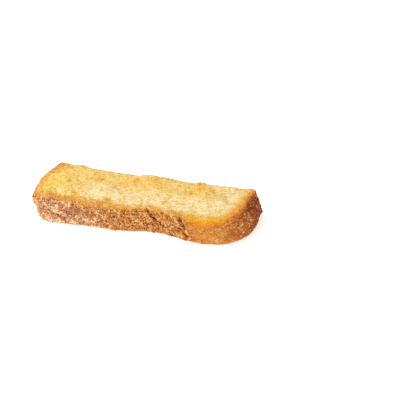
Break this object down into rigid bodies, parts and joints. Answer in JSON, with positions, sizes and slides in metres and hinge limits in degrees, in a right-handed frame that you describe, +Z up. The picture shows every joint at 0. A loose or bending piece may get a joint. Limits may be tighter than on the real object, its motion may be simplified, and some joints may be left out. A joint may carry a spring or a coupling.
{
  "type": "french toast stick",
  "caption": "Baked stick of egg-dipped bread: a thick strip from the edge of a loaf slice, with crumb faces, a crust side, two slanting folds and one domed crust end.",
  "frame": {"origin": "middle of the underside: the bottom centre of the stick's bounding box", "axes": "+X along the stick towards the domed crust end, +Y towards the cut crumb side, -Y towards the loaf's side crust, +Z up from the flat pan side"},
  "size_m": [0.1162, 0.0278, 0.0191],
  "materials": {
    "toast_stick": "matte toasted crumb, golden with pale patches; the crust side and both ends are rough and brown"
  },
  "bodies": {
    "root": {"toast_stick": "toast_stick"}
  },
  "joints": []
}
